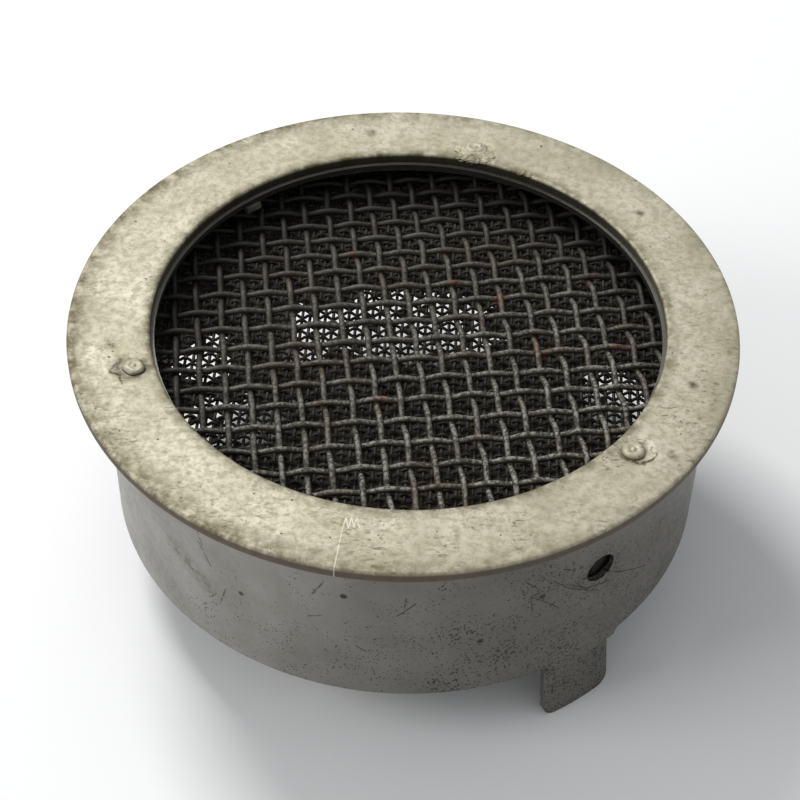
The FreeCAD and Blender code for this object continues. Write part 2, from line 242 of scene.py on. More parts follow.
# Blotches about 7 mm across, and a finer mottling of about 1 mm on top of them.
blotches = add(ring_plate, "TexNoise", {"Scale": size_of(7), "Detail": 5.0, "Roughness": 0.65},
               {"Vector": (place, "Object")})
mottle = add(ring_plate, "TexNoise", {"Scale": size_of(0.8), "Detail": 6.0, "Roughness": 0.72},
             {"Vector": (place, "Object")})
blotch_part = add(ring_plate, "MapRange", {"From Min": 0.38, "From Max": 0.62},
                  {"Value": (blotches, "Fac")})
plate = add(ring_plate, "Mix",
            {"data_type": "RGBA", "A_Color": linear("#B2AC94"), "B_Color": linear("#CCC7B1")},
            {"Factor_Float": (blotch_part, "Result")})
mottle_part = add(ring_plate, "MapRange", {"From Min": 0.44, "From Max": 0.60, "To Max": 0.62},
                  {"Value": (mottle, "Fac")})
plate = add(ring_plate, "Mix", {"data_type": "RGBA", "B_Color": linear("#9A9478")},
            {"A_Color": (plate, "Result_Color"), "Factor_Float": (mottle_part, "Result")})

# Olive specks and short creases, 0.1 to 0.3 mm, in drifts.
crease_place = add(ring_plate, "Mapping", {"Rotation": (0, 0, 0.4), "Scale": (0.55, 1.3, 1)},
                   {"Vector": (flat_axis, "Vector")})
speck_noise = add(ring_plate, "TexNoise",
                  {"Scale": size_of(0.42), "Detail": 4.0, "Roughness": 0.6, "Distortion": 0.7},
                  {"Vector": (crease_place, "Vector")})
drifts = add(ring_plate, "TexNoise", {"Scale": size_of(5), "Detail": 3.0}, {"Vector": (flat, "Vector")})
drift_part = add(ring_plate, "MapRange", {"From Min": 0.42, "From Max": 0.64, "To Min": 0.15, "To Max": 1.0},
                 {"Value": (drifts, "Fac")})
specks = add(ring_plate, "MapRange", {"From Min": 0.54, "From Max": 0.63, "To Max": 0.7},
             {"Value": (speck_noise, "Fac")})
near_front = add(ring_plate, "MapRange",
                 {"From Min": 0.022, "From Max": -0.012, "To Min": 0.25, "To Max": 1.0},
                 {"Value": (apart, "Y")})
specks = add(ring_plate, "Math", {"operation": "MULTIPLY"},
             {0: (specks, "Result"), 1: (drift_part, "Result")})
specks = add(ring_plate, "Math", {"operation": "MULTIPLY"}, {0: (specks, "Value"), 1: (near_front, "Result")})
plate = add(ring_plate, "Mix", {"data_type": "RGBA", "B_Color": linear("#57523B")},
            {"A_Color": (plate, "Result_Color"), "Factor_Float": (specks, "Value")})

# Dark pits, a third of a millimetre and far apart.
pit_noise = add(ring_plate, "TexNoise", {"Scale": size_of(0.7), "Detail": 1.0}, {"Vector": (flat, "Vector")})
pits = add(ring_plate, "MapRange", {"From Min": 0.74, "From Max": 0.79, "To Max": 0.8},
           {"Value": (pit_noise, "Fac")})
plate = add(ring_plate, "Mix", {"data_type": "RGBA", "B_Color": linear("#45412F")},
            {"A_Color": (plate, "Result_Color"), "Factor_Float": (pits, "Result")})

# Grime along the outer edge, 2 mm deep and stronger on the left, and along the opening.
edge_noise = add(ring_plate, "TexNoise", {"Scale": size_of(1.8), "Detail": 6.0, "Roughness": 0.7},
                 {"Vector": (flat, "Vector")})
edge_part = add(ring_plate, "MapRange", {"From Min": 0.34, "From Max": 0.60},
                {"Value": (edge_noise, "Fac")})
left_side = add(ring_plate, "MapRange",
                {"From Min": 0.020, "From Max": -0.018, "To Min": 0.35, "To Max": 1.0},
                {"Value": (apart, "X")})
outer_grime = add(ring_plate, "MapRange",
                  {"From Min": FLANGE_RADIUS - 2.6 * MM, "From Max": FLANGE_RADIUS - 0.4 * MM},
                  {"Value": (from_disc, "Value")})
outer_grime = add(ring_plate, "Math", {"operation": "MULTIPLY"},
                  {0: (outer_grime, "Result"), 1: (left_side, "Result")})
inner_grime = add(ring_plate, "MapRange",
                  {"From Min": OPENING_RADIUS + 1.3 * MM, "From Max": OPENING_RADIUS + 0.1 * MM,
                   "To Max": 0.95},
                  {"Value": (from_axis, "Value")})
grime = add(ring_plate, "Math", {"operation": "MAXIMUM"},
            {0: (outer_grime, "Value"), 1: (inner_grime, "Result")})
grime = add(ring_plate, "Math", {"operation": "MULTIPLY"}, {0: (grime, "Value"), 1: (edge_part, "Result")})
plate = add(ring_plate, "Mix", {"data_type": "RGBA", "B_Color": linear("#5E5538")},
            {"A_Color": (plate, "Result_Color"), "Factor_Float": (grime, "Value")})

# Dark rings round two of the rivets, where the dish meets the head, are dirt with painted contact shade; dirt
# also lies in five spots scattered round the ring.
groove_shade_and_stains = []
for name, groove, width, depth in (("rivet_front_right", 1.2, 0.35, 1.0), ("rivet_left", 1.35, 0.8, 0.9)):
    spot_low, spot_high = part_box(name)
    middle = ((spot_low.x + spot_high.x) / 2 - (groove - 1.15) * MM, (spot_low.y + spot_high.y) / 2, 0)
    gap = add(ring_plate, "VectorMath", {"operation": "DISTANCE", 1: middle}, {0: (flat_axis, "Vector")})
    off_groove = add(ring_plate, "Math", {"operation": "SUBTRACT", 1: groove * MM}, {0: (gap, "Value")})
    off_groove = add(ring_plate, "Math", {"operation": "ABSOLUTE"}, {0: (off_groove, "Value")})
    groove_shade_and_stains.append(add(ring_plate, "MapRange",
                          {"From Min": width * MM, "From Max": 0.05 * MM, "To Max": depth},
                          {"Value": (off_groove, "Value")}))
spot_dice = random.Random(34)
stain_spots = []
for number in range(5):
    turn, reach = spot_dice.uniform(0, math.tau), spot_dice.uniform(26.5, 30.5)
    stain_spots.append((reach * math.cos(turn), reach * math.sin(turn), spot_dice.uniform(0.3, 0.45)))
for x, y, half in stain_spots:
    gap = add(ring_plate, "VectorMath", {"operation": "DISTANCE", 1: (x * MM, y * MM, 0)},
              {0: (flat_axis, "Vector")})
    groove_shade_and_stains.append(add(ring_plate, "MapRange",
                          {"From Min": (half + 0.4) * MM, "From Max": half * 0.5 * MM, "To Max": 1.1},
                          {"Value": (gap, "Value")}))
dirt_and_groove_shade = strongest(ring_plate, groove_shade_and_stains)
dirt_and_groove_shade = add(ring_plate, "Math", {"operation": "MULTIPLY"},
                 {0: (dirt_and_groove_shade, 0), 1: (edge_part, "Result")})
plate = add(ring_plate, "Mix", {"data_type": "RGBA", "B_Color": linear("#57523A")},
            {"A_Color": (plate, "Result_Color"), "Factor_Float": (dirt_and_groove_shade, "Value")})

# Beside two of the rivets the plating has cracked, in short dark lines.
crease_dice = random.Random(31)
crack_lines = []
for node in ("rivet_front_right", "rivet_left"):
    low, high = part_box(node)
    middle = (low + high) / 2 / MM
    start = math.atan2(middle.y, middle.x) - 0.9
    corners = []
    for step in range(5):
        turn, reach = start + 0.45 * step, crease_dice.uniform(1.5, 2.6)
        corners.append((middle.x + reach * math.cos(turn), middle.y + reach * math.sin(turn)))
    crack_lines.extend(zip(corners, corners[1:]))
# Noise bends the lines by up to 0.3 mm and thins them here and there.
sway = add(ring_plate, "TexNoise", {"Scale": size_of(0.9), "Detail": 3.0}, {"Vector": (flat_axis, "Vector")})
sway = add(ring_plate, "VectorMath", {"operation": "MULTIPLY_ADD", 1: (1.1 * MM, 1.1 * MM, 0)},
           {0: (sway, "Color"), 2: (flat_axis, "Vector")})
swayed = add(ring_plate, "Mapping", {"Location": (-0.55 * MM, -0.55 * MM, 0), "Scale": (1, 1, 0)},
             {"Vector": (sway, "Vector")})
cracks = strongest(ring_plate, [
    stroke(ring_plate, (swayed, "Vector"), on_ring(*a), on_ring(*b), 0.06 * MM, 0.22 * MM)
    for a, b in crack_lines])
crack_part = add(ring_plate, "MapRange", {"From Min": 0.40, "From Max": 0.56}, {"Value": (mottle, "Fac")})
cracks = add(ring_plate, "Math", {"operation": "MULTIPLY"}, {0: (cracks, 0), 1: (crack_part, "Result")})
plate = add(ring_plate, "Mix", {"data_type": "RGBA", "B_Color": linear("#3F3A28")},
            {"A_Color": (plate, "Result_Color"), "Factor_Float": (cracks, "Value")})

# The cut edges of the disc, whose normals lie flat, are brown with dirt and darkened by painted shade; inside
# the opening the painted shade deepens towards the back, where the edge faces away from the lamps.
facing = add(ring_plate, "NewGeometry")
upright = add(ring_plate, "SeparateXYZ", links={"Vector": (facing, "Normal")})
edge_face = add(ring_plate, "MapRange", {"From Min": 0.55, "From Max": 0.08, "To Max": 0.95},
                {"Value": (upright, "Z")})
inside = add(ring_plate, "MapRange", {"From Min": OPENING_RADIUS + 0.5 * MM, "From Max": OPENING_RADIUS},
             {"Value": (from_axis, "Value")})
back_shade = add(ring_plate, "MapRange", {"From Min": -0.004, "From Max": 0.016}, {"Value": (apart, "Y")})
inner_edge_shade = add(ring_plate, "Mix",
                 {"data_type": "RGBA", "A_Color": linear("#6A6350"), "B_Color": linear("#2B281E")},
                 {"Factor_Float": (back_shade, "Result")})
edge_dirt_and_shade = add(ring_plate, "Mix", {"data_type": "RGBA", "A_Color": linear("#4C4135")},
                {"B_Color": (inner_edge_shade, "Result_Color"), "Factor_Float": (inside, "Result")})
plate = add(ring_plate, "Mix", {"data_type": "RGBA"},
            {"A_Color": (plate, "Result_Color"), "B_Color": (edge_dirt_and_shade, "Result_Color"),
             "Factor_Float": (edge_face, "Result")})

# A scratch down to bright metal: an uneven zigzag of seven points, and one long stroke to the edge.
scratch_dice = random.Random(35)
scratch_points = [(-5.4 + 0.24 * step, -26.8 + (0.5 if step % 2 else -0.5) * scratch_dice.uniform(0.6, 1.3))
                  for step in range(7)]
scratch_lines = list(zip(scratch_points, scratch_points[1:]))
scratch_lines += [(scratch_points[0], (-6, -32))]
scratch = strongest(ring_plate, [
    stroke(ring_plate, (flat_axis, "Vector"), on_ring(*a), on_ring(*b), 0.02 * MM, 0.07 * MM)
    for a, b in scratch_lines])
scratch = add(ring_plate, "Math", {"operation": "MULTIPLY"}, {0: (scratch, 0), 1: (edge_part, "Result")})
plate = add(ring_plate, "Mix", {"data_type": "RGBA", "B_Color": linear("#E4E0D2")},
            {"A_Color": (plate, "Result_Color"), "Factor_Float": (scratch, 0)})
rough = add(ring_plate, "MapRange", {"From Min": 0.3, "From Max": 0.7, "To Min": 0.50, "To Max": 0.68},
            {"Value": (mottle, "Fac")})
relief = add(ring_plate, "Bump", {"Strength": 0.35, "Distance": 0.06 * MM}, {"Height": (mottle, "Fac")})
relief = add(ring_plate, "Bump", {"Strength": 0.6, "Distance": 0.10 * MM, "invert": True},
             {"Height": (pits, "Result"), "Normal": (relief, "Normal")})
links = ring_plate.node_tree.links
links.new(socket(plate.outputs, "Result_Color"), shader.inputs["Base Color"])
links.new(rough.outputs["Result"], shader.inputs["Roughness"])
links.new(relief.outputs["Normal"], shader.inputs["Normal"])
print("ring_plate", len(ring_plate.node_tree.nodes), "nodes")

# %% [markdown]
# ## The ring
#
# The ring is a flat disc with a hole. Spinning a small rectangle round the sleeve's axis makes
# it, and beveling its four circular edges takes off the punched sharpness. The disc sits half a
# millimetre off the axis, so points move sideways in step with their radius. Then the top is cut
# into small quads, so that it can carry the dishes the riveting tool left and a slight waviness.

# %% Spin and bevel the ring
RING_STEPS = 480
ring = bmesh.new()
corners = [ring.verts.new((radius, 0, height)) for radius, height in (
    (OPENING_RADIUS, flange_low.z), (FLANGE_RADIUS, flange_low.z),
    (FLANGE_RADIUS, flange_high.z), (OPENING_RADIUS, flange_high.z))]
section = [ring.edges.new((corners[i], corners[(i + 1) % 4])) for i in range(4)]
bmesh.ops.spin(ring, geom=corners + section, cent=(0, 0, 0), axis=(0, 0, 1), angle=math.tau,
               steps=RING_STEPS, use_merge=True)
bmesh.ops.remove_doubles(ring, verts=ring.verts, dist=0.001 * MM)
sharp = [e for e in ring.edges if abs(e.verts[0].co.xy.length - e.verts[1].co.xy.length) < 0.01 * MM
         and abs(e.verts[0].co.z - e.verts[1].co.z) < 0.01 * MM]
bmesh.ops.bevel(ring, geom=sharp, offset=0.28 * MM, offset_type="OFFSET", segments=3, profile=0.5,
                affect="EDGES", material=-1)
across = [e for e in ring.edges
          if min(v.co.z for v in e.verts) > flange_high.z - 0.01 * MM
          and abs(e.verts[0].co.xy.length - e.verts[1].co.xy.length) > 2 * MM]
bmesh.ops.subdivide_edges(ring, edges=across, cuts=24, use_grid_fill=True)
print("ring has", len(ring.faces), "faces")

# %% Shift the rim off the axis, and press in the marks of use
RIVET_PLACES = {name: sum(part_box(name), Vector()) / 2
                for name in ("rivet_front_right", "rivet_back", "rivet_left")}


def falloff(distance, radius):
    """1 at the middle, 0 at the radius, smooth at both."""
    t = max(0.0, 1 - (distance / radius) ** 2)
    return t * t


disc_shift = FLANGE_CENTRE.x
for vert in ring.verts:
    share = (vert.co.xy.length - OPENING_RADIUS) / (FLANGE_RADIUS - OPENING_RADIUS)
    vert.co.x += disc_shift * share
for vert in ring.verts:
    if vert.co.z < flange_high.z - 0.3 * MM:
        continue
    drop = 0.03 * MM * (0.5 + 0.5 * noise.noise(vert.co * size_of(9)))
    drop += 0.012 * MM * (0.5 + 0.5 * noise.noise(vert.co * size_of(2.2)))
    for name, spot in RIVET_PLACES.items():
        distance = (vert.co.xy - spot.xy).length
        wobble = 1 + 0.25 * noise.noise(Vector((vert.co.x, vert.co.y, spot.x)) * size_of(1.6))
        drop += 0.16 * MM * falloff(distance * wobble, 2.7 * MM)
        drop -= 0.05 * MM * math.exp(-((distance * wobble - 2.5 * MM) / (0.35 * MM)) ** 2)
    vert.co.z = min(vert.co.z - drop, flange_high.z)
bmesh.ops.recalc_face_normals(ring, faces=ring.faces)
print("ring pressed, top now between",
      round(min(v.co.z for v in ring.verts if v.co.z > flange_high.z - 0.4 * MM) / MM, 2), "and",
      round(max(v.co.z for v in ring.verts) / MM, 2), "mm")


# %% One way to finish every new piece
def finish_piece(name, mesh, material, replaced):
    """Turns a bmesh into a smooth-shaded piece that rides on the part and stands for its nodes."""
    data = bpy.data.meshes.new(name)
    for face in mesh.faces:
        face.smooth = True
    mesh.to_mesh(data)
    mesh.free()
    data.materials.append(material)
    piece = bpy.data.objects.new(name, data)
    bpy.context.scene.collection.objects.link(piece)
    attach(piece, "root")
    if replaced:
        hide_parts(*replaced)
    print(name, len(data.vertices), "points,", len(data.polygons), "faces")
    return piece


finish_piece("flange_disc", ring, ring_plate, ["flange_ring"])

# %% [markdown]
# ## The rivets
#
# Each rivet is a low button with a ring pressed round a small nub, on a shank that is peened
# over under the lip. A spun outline gives all of that at once. The one at the back was overheated
# and has slumped into a lump that runs over the ring's inner edge.

# %% Rivet outline, spun and made uneven
RIVET_OUTLINE = [
    (0.0, 0.33), (0.13, 0.32), (0.22, 0.25), (0.34, 0.24), (0.46, 0.27), (0.60, 0.28), (0.78, 0.26),
    (0.94, 0.18), (1.05, 0.05), (1.10, -0.12), (0.72, -0.14), (0.70, -1.0), (0.70, -1.86),
    (0.80, -1.98), (1.02, -2.02), (1.05, -2.10), (0.70, -2.22), (0.0, -2.25)]


def rivet(name, spot, unevenness):
    """A button rivet standing at spot; unevenness in millimetres roughens its head."""
    mesh = bmesh.new()
    points = [mesh.verts.new((r * MM, 0, h * MM)) for r, h in RIVET_OUTLINE]
    edges = [mesh.edges.new(pair) for pair in zip(points, points[1:])]
    bmesh.ops.spin(mesh, geom=points + edges, cent=(0, 0, 0), axis=(0, 0, 1), angle=math.tau, steps=40,
                   use_merge=True)
    bmesh.ops.remove_doubles(mesh, verts=mesh.verts, dist=0.001 * MM)
    bmesh.ops.subdivide_edges(mesh, edges=mesh.edges, cuts=1, use_grid_fill=True, smooth=0.4)
    for vert in mesh.verts:
        if vert.co.z > -0.2 * MM:
            bumps = noise.noise_vector((vert.co + spot) * size_of(0.7))
            vert.co += bumps * unevenness * MM
    bmesh.ops.translate(mesh, verts=mesh.verts, vec=(spot.x, spot.y, flange_high.z))
    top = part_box(name)[1].z
    for vert in mesh.verts:
        vert.co.z = min(vert.co.z, top)
    bmesh.ops.recalc_face_normals(mesh, faces=mesh.faces)
    return mesh


for name, unevenness in (("rivet_front_right", 0.03), ("rivet_left", 0.11)):
    button = rivet(name, RIVET_PLACES[name], unevenness)
    finish_piece(name + "_button", button, ring_plate, [name])

# %% The slumped rivet at the back
lump = rivet("rivet_back", RIVET_PLACES["rivet_back"], 0.12)
back = RIVET_PLACES["rivet_back"]
outward = Vector((back.x, back.y, 0)).normalized()
sideways = Vector((outward.y, -outward.x, 0))
# Each blob: how far along the ring and out from the rivet, its three half sizes, and its height.
BLOBS = [
    (0.0, -0.3, 1.7, 1.3, 0.34, -0.10), (-1.3, -0.5, 1.0, 0.8, 0.28, -0.12),
    (1.4, -0.7, 1.1, 0.8, 0.26, -0.12), (-0.9, -1.5, 0.8, 0.7, 0.36, -0.22),
    (0.2, -1.7, 0.9, 0.6, 0.38, -0.26), (1.5, -1.6, 0.7, 0.5, 0.30, -0.24),
    (2.6, -1.5, 0.5, 0.45, 0.22, -0.18), (5.6, -1.7, 0.6, 0.45, 0.20, -0.16),
    (6.6, -1.9, 0.5, 0.4, 0.22, -0.16)]
for along, out, half_along, half_out, half_up, height in BLOBS:
    blob = bmesh.ops.create_icosphere(lump, subdivisions=4, radius=1.0)["verts"]
    place_of_blob = back + sideways * along * MM + outward * out * MM
    if along > 4:
        # The far ones are beads on the opening's rim, so they turn with it.
        swing = math.atan2(back.y, back.x) - along / 25
        place_of_blob = Vector((math.cos(swing), math.sin(swing), 0)) * (OPENING_RADIUS + 0.35 * MM)
    for vert in blob:
        bump = 1 + 0.30 * noise.noise(vert.co * 1.7 + Vector((along, out, 0)))
        bump += 0.12 * noise.noise(vert.co * 4)
        vert.co = (sideways * vert.co.x * half_along + outward * vert.co.y * half_out
                   + Vector((0, 0, vert.co.z * half_up))) * bump * MM
        vert.co += Vector((place_of_blob.x, place_of_blob.y, flange_high.z + height * MM))
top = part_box("rivet_back")[1].z
for vert in lump.verts:
    vert.co.z = min(vert.co.z, top)
finish_piece("rivet_back_lump", lump, ring_plate, ["rivet_back"])

# %% [markdown]
# ## The sleeve's plated sheet
#
# The wall is the same kind of sheet, but it was kept out of the light and has stayed a neutral
# grey with a satin sheen. It carries black specks, more of them low down on the right, thin
# scuffs and an olive smudge on the left. The pattern needs a flat map of the wall, so the angle
# round the axis times the wall's radius gives one direction, and the height gives the other.

# %% Grey zinc plating on the sleeve
wall_plate, shader = new_material("grey_zinc_plate")
shader.inputs["Metallic"].default_value = 0.3
place = add(wall_plate, "TexCoord")
apart = add(wall_plate, "SeparateXYZ", links={"Vector": (place, "Object")})
front = add(wall_plate, "Math", {"operation": "MULTIPLY", 1: -1.0}, {0: (apart, "Y")})
angle = add(wall_plate, "Math", {"operation": "ARCTAN2"}, {0: (apart, "X"), 1: (front, "Value")})
around = add(wall_plate, "Math", {"operation": "MULTIPLY", 1: WALL_RADIUS}, {0: (angle, "Value")})
unrolled = add(wall_plate, "CombineXYZ", links={"X": (around, "Value"), "Y": (apart, "Z")})


def on_wall(degrees, height):
    """A point of the unrolled wall, from its angle off the front and its height in millimetres."""
    return Vector((math.radians(degrees) * WALL_RADIUS, height * MM, 0))


clouds = add(wall_plate, "TexNoise", {"Scale": size_of(6), "Detail": 4.0}, {"Vector": (place, "Object")})
cloud_part = add(wall_plate, "MapRange", {"From Min": 0.35, "From Max": 0.65}, {"Value": (clouds, "Fac")})
sheet = add(wall_plate, "Mix",
            {"data_type": "RGBA", "A_Color": linear("#7C7A73"), "B_Color": linear("#8F8D87")},
            {"Factor_Float": (cloud_part, "Result")})

# Painted shade: the wall darkens to brown-grey towards the right, away from the lamps, and on the tabs that
# hang below the edge.
right_and_tab_shade = add(wall_plate, "MapRange",
           {"From Min": -0.027, "From Max": 0.010, "To Max": 0.62}, {"Value": (apart, "X")})
tab_shade = add(wall_plate, "MapRange",
              {"From Min": 0.0004, "From Max": -0.0006, "To Max": 0.62}, {"Value": (apart, "Z")})
right_and_tab_shade = add(wall_plate, "Math", {"operation": "MAXIMUM"}, {0: (right_and_tab_shade, "Result"), 1: (tab_shade, "Result")})
sheet = add(wall_plate, "Mix", {"data_type": "RGBA", "B_Color": linear("#4E4B43")},
            {"A_Color": (sheet, "Result_Color"), "Factor_Float": (right_and_tab_shade, "Value")})

# Black specks of 0.1 to 0.2 mm. They thicken to the right and towards the open edge.
speck_noise = add(wall_plate, "TexNoise", {"Scale": size_of(0.24), "Detail": 3.0},
                  {"Vector": (place, "Object")})
drifts = add(wall_plate, "TexNoise", {"Scale": size_of(4), "Detail": 3.0}, {"Vector": (place, "Object")})
to_right = add(wall_plate, "MapRange",
               {"From Min": -0.025, "From Max": 0.011, "To Max": 0.10}, {"Value": (apart, "X")})
to_low = add(wall_plate, "MapRange",
             {"From Min": 0.016, "From Max": 0.002, "To Max": 0.065}, {"Value": (apart, "Z")})
drift_part = add(wall_plate, "MapRange",
                 {"From Min": 0.35, "From Max": 0.65, "To Min": -0.05, "To Max": 0.05},
                 {"Value": (drifts, "Fac")})
lift = add(wall_plate, "Math", {"operation": "ADD"}, {0: (to_right, "Result"), 1: (to_low, "Result")})
lift = add(wall_plate, "Math", {"operation": "ADD"}, {0: (lift, "Value"), 1: (drift_part, "Result")})
speck_level = add(wall_plate, "Math", {"operation": "ADD"}, {0: (speck_noise, "Fac"), 1: (lift, "Value")})
specks = add(wall_plate, "MapRange", {"From Min": 0.72, "From Max": 0.76, "To Max": 0.9},
             {"Value": (speck_level, "Value")})
sheet = add(wall_plate, "Mix", {"data_type": "RGBA", "B_Color": linear("#24211B")},
            {"A_Color": (sheet, "Result_Color"), "Factor_Float": (specks, "Result")})

# Scuffs: short dark hairlines, scattered over the front.
scuff_dice = random.Random(32)
scuff_lines = []
for number in range(16):
    degrees, height = scuff_dice.uniform(-40, 45), scuff_dice.uniform(7, 16)
    end = (degrees + scuff_dice.uniform(-4, 4), height - scuff_dice.uniform(0.5, 3))
    scuff_lines.append(((degrees, height), end))
scuffs = strongest(wall_plate, [
    stroke(wall_plate, (unrolled, "Vector"), on_wall(*a), on_wall(*b), 0.05 * MM, 0.09 * MM)
    for a, b in scuff_lines])
broken = add(wall_plate, "TexNoise", {"Scale": size_of(0.6), "Detail": 2.0}, {"Vector": (place, "Object")})
broken_part = add(wall_plate, "MapRange", {"From Min": 0.35, "From Max": 0.5}, {"Value": (broken, "Fac")})
scuffs = add(wall_plate, "Math", {"operation": "MULTIPLY"}, {0: (scuffs, 0), 1: (broken_part, "Result")})
sheet = add(wall_plate, "Mix", {"data_type": "RGBA", "B_Color": linear("#3A3630")},
            {"A_Color": (sheet, "Result_Color"), "Factor_Float": (scuffs, "Value")})

# The olive smudge on the left, and the dirt worked in round the side screw.
smudge = stroke(wall_plate, (unrolled, "Vector"), on_wall(-46, 10), on_wall(-38, 8), 0.2 * MM, 1.5 * MM)
smudge_part = add(wall_plate, "MapRange", {"From Min": 0.35, "From Max": 0.7}, {"Value": (broken, "Fac")})
smudge = add(wall_plate, "Math", {"operation": "MULTIPLY"}, {0: (smudge, 0), 1: (smudge_part, "Result")})
sheet = add(wall_plate, "Mix", {"data_type": "RGBA", "B_Color": linear("#4C4930")},
            {"A_Color": (sheet, "Result_Color"), "Factor_Float": (smudge, "Value")})
hole_dirt = stroke(wall_plate, (unrolled, "Vector"), on_wall(90 + SCREW_BEARING, SCREW_HEIGHT),
                   on_wall(90.01 + SCREW_BEARING, SCREW_HEIGHT), 3.2 * MM, 2.2 * MM)
hole_noise = add(wall_plate, "MapRange", {"From Min": 0.48, "From Max": 0.60},
                 {"Value": (speck_noise, "Fac")})
hole_dirt = add(wall_plate, "Math", {"operation": "MULTIPLY"}, {0: (hole_dirt, 0), 1: (hole_noise, "Result")})
sheet = add(wall_plate, "Mix", {"data_type": "RGBA", "B_Color": linear("#2C2924")},
            {"A_Color": (sheet, "Result_Color"), "Factor_Float": (hole_dirt, "Value")})
# Four small dark spots, scattered over the front.
pit_dice = random.Random(36)
wall_spots = [(pit_dice.uniform(-30, 30), pit_dice.uniform(2, 14), pit_dice.uniform(0.35, 0.5))
              for number in range(4)]
dots = strongest(wall_plate, [stroke(wall_plate, (unrolled, "Vector"), on_wall(degrees, height),
                                     on_wall(degrees + 0.01, height), width * MM, 0.15 * MM)
                              for degrees, height, width in wall_spots])
sheet = add(wall_plate, "Mix", {"data_type": "RGBA", "B_Color": linear("#1F1C18")},
            {"A_Color": (sheet, "Result_Color"), "Factor_Float": (dots, 0)})

# The bore and the lip's cut edge are darkened by soot and dust and by painted shade; the cut edges below are
# brown.
flat_wall = add(wall_plate, "Mapping", {"Scale": (1, 1, 0)}, {"Vector": (place, "Object")})
from_axis = add(wall_plate, "VectorMath", {"operation": "LENGTH"}, {0: (flat_wall, "Vector")})
facing = add(wall_plate, "NewGeometry")
upright = add(wall_plate, "SeparateXYZ", links={"Vector": (facing, "Normal")})
in_bore = add(wall_plate, "MapRange", {"From Min": 0.02945, "From Max": 0.02930, "To Max": 0.93},
              {"Value": (from_axis, "Value")})
not_top = add(wall_plate, "MapRange", {"From Min": 0.8, "From Max": 0.5}, {"Value": (upright, "Z")})
not_tab = add(wall_plate, "MapRange", {"From Min": -0.0012, "From Max": 0.0004}, {"Value": (apart, "Z")})
soot_and_shade = add(wall_plate, "Math", {"operation": "MULTIPLY"}, {0: (in_bore, "Result"), 1: (not_top, "Result")})
soot_and_shade = add(wall_plate, "Math", {"operation": "MULTIPLY"}, {0: (soot_and_shade, "Value"), 1: (not_tab, "Result")})
sheet = add(wall_plate, "Mix", {"data_type": "RGBA", "B_Color": linear("#262420")},
            {"A_Color": (sheet, "Result_Color"), "Factor_Float": (soot_and_shade, "Value")})
cut_edge = add(wall_plate, "MapRange", {"From Min": -0.5, "From Max": -0.9, "To Max": 0.8},
               {"Value": (upright, "Z")})
sheet = add(wall_plate, "Mix", {"data_type": "RGBA", "B_Color": linear("#54473A")},
            {"A_Color": (sheet, "Result_Color"), "Factor_Float": (cut_edge, "Result")})
fine = add(wall_plate, "TexNoise", {"Scale": size_of(0.7), "Detail": 4.0}, {"Vector": (place, "Object")})
rough = add(wall_plate, "MapRange", {"From Min": 0.3, "From Max": 0.7, "To Min": 0.36, "To Max": 0.52},
            {"Value": (fine, "Fac")})
relief = add(wall_plate, "Bump", {"Strength": 0.2, "Distance": 0.05 * MM}, {"Height": (fine, "Fac")})
links = wall_plate.node_tree.links
links.new(socket(sheet.outputs, "Result_Color"), shader.inputs["Base Color"])
links.new(rough.outputs["Result"], shader.inputs["Roughness"])
links.new(relief.outputs["Normal"], shader.inputs["Normal"])
nodes["sleeve"].data.materials.clear()
nodes["sleeve"].data.materials.append(wall_plate)
print("wall_plate", len(wall_plate.node_tree.nodes), "nodes")

# %% [markdown]
# ## The screens' wires
#
# Both screens are plain weave: every wire goes over one crossing wire and under the next. A
# NURBS spline through one point per crossing, raised and lowered in turn, bends the way a crimped
# wire does. The wires of the real screen have shifted a little, so each crossing is moved by a
# seeded amount that both of its wires share.

# %% Weave
def wire_lines(middle, pitch, drift, reach, dice, play):
    """Where a set's wires lie, in millimetres: a pitch that grows by twice the drift from wire to wire."""
    lines = []
    count = math.ceil(reach / pitch) + 1
    for step in range(-count, count + 1):
        line = middle + pitch * step + drift * step * step + dice.uniform(-play, play)
        if abs(line) < reach:
            lines.append(line)
    return lines


